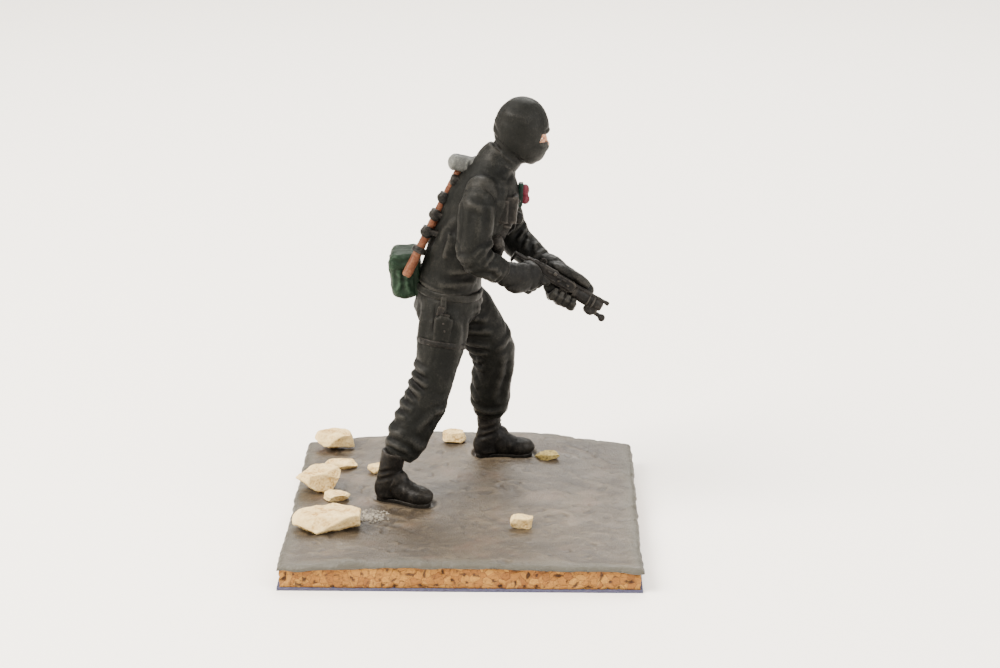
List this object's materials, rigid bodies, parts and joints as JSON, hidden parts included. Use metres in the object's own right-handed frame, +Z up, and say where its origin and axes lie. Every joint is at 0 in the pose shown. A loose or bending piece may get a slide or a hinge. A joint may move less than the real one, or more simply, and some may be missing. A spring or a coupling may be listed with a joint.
{
  "type": "painted miniature figure",
  "caption": "Small-scale model soldier in a dark hooded assault kit, crouching forward with a carbine, glued to a square cork base with painted ground and stones.",
  "frame": {"origin": "centre of the base's underside", "axes": "+X the way the figure looks, +Y its left, +Z up"},
  "size_m": [0.045, 0.045, 0.0559],
  "materials": {
    "backing_card": "thin dark blue-violet card, matt",
    "cork": "bare agglomerated cork, knife-cut edges",
    "ground_paint": "filler paste, matt grey paint dry-brushed buff, brush streaks",
    "pale_stone": "rough cream stone chips, matt",
    "mossy_stone": "stone chip washed yellow-green, matt",
    "grit": "fine grit set in glue, grey and white",
    "uniform_black": "matt near-black paint, raised folds dry-brushed grey",
    "boot_black": "satin black paint, worn lighter on edges",
    "glove_black": "satin near-black paint",
    "hood_black": "matt near-black paint, soft knit look",
    "webbing_black": "satin black paint over cast or foil webbing",
    "gun_black": "black paint rubbed with graphite on the edges",
    "bag_green": "matt dark green paint, lighter on the folds",
    "holder_green": "satin very dark green paint",
    "flare_red": "satin dull red paint",
    "handle_brown": "orange-brown wood-colour paint with darker streaks",
    "hammer_grey": "matt light grey paint, worn at the corners",
    "skin_paint": "matt flesh paint with a brown wash",
    "pin_wire": "bare brass wire"
  },
  "bodies": {
    "root": {"base_card": "backing_card", "cork_slab": "cork", "groundwork": "ground_paint", "grit_patch": "grit", "rock_back_left": "pale_stone", "rock_boulder_left": "pale_stone", "rock_flat_left": "pale_stone", "rock_small_left": "pale_stone", "rock_slab_front": "pale_stone", "rock_behind_heel": "pale_stone", "rock_small_back": "pale_stone", "rock_by_toe": "mossy_stone", "rock_small_front": "pale_stone", "boot_right": "boot_black", "boot_left": "boot_black", "boot_pin_right": "pin_wire", "boot_pin_left": "pin_wire", "trousers_right": "uniform_black", "trousers_left": "uniform_black", "torso": "uniform_black", "arm_right": "uniform_black", "arm_left": "uniform_black", "glove_right": "glove_black", "glove_left": "glove_black", "head_face": "skin_paint", "balaclava": "hood_black", "belt": "webbing_black", "chest_pouch": "webbing_black", "canister_pouch": "webbing_black", "belly_pouch_right": "webbing_black", "belly_pouch_left": "webbing_black", "press_switch": "webbing_black", "flare_holder": "holder_green", "flares_red": "flare_red", "haversack": "bag_green", "haversack_lid": "bag_green", "hammer_head": "hammer_grey", "hammer_handle": "handle_brown", "hammer_loops": "webbing_black", "thigh_holster": "webbing_black", "holster_strap": "webbing_black", "pistol": "gun_black", "gun_receiver": "gun_black", "gun_upper_tube": "gun_black", "gun_forend": "gun_black", "gun_front_sight": "gun_black", "gun_barrel": "gun_black", "gun_rear_sight": "gun_black", "gun_magazine": "gun_black", "gun_grip": "gun_black", "gun_stock": "gun_black"}
  },
  "joints": []
}
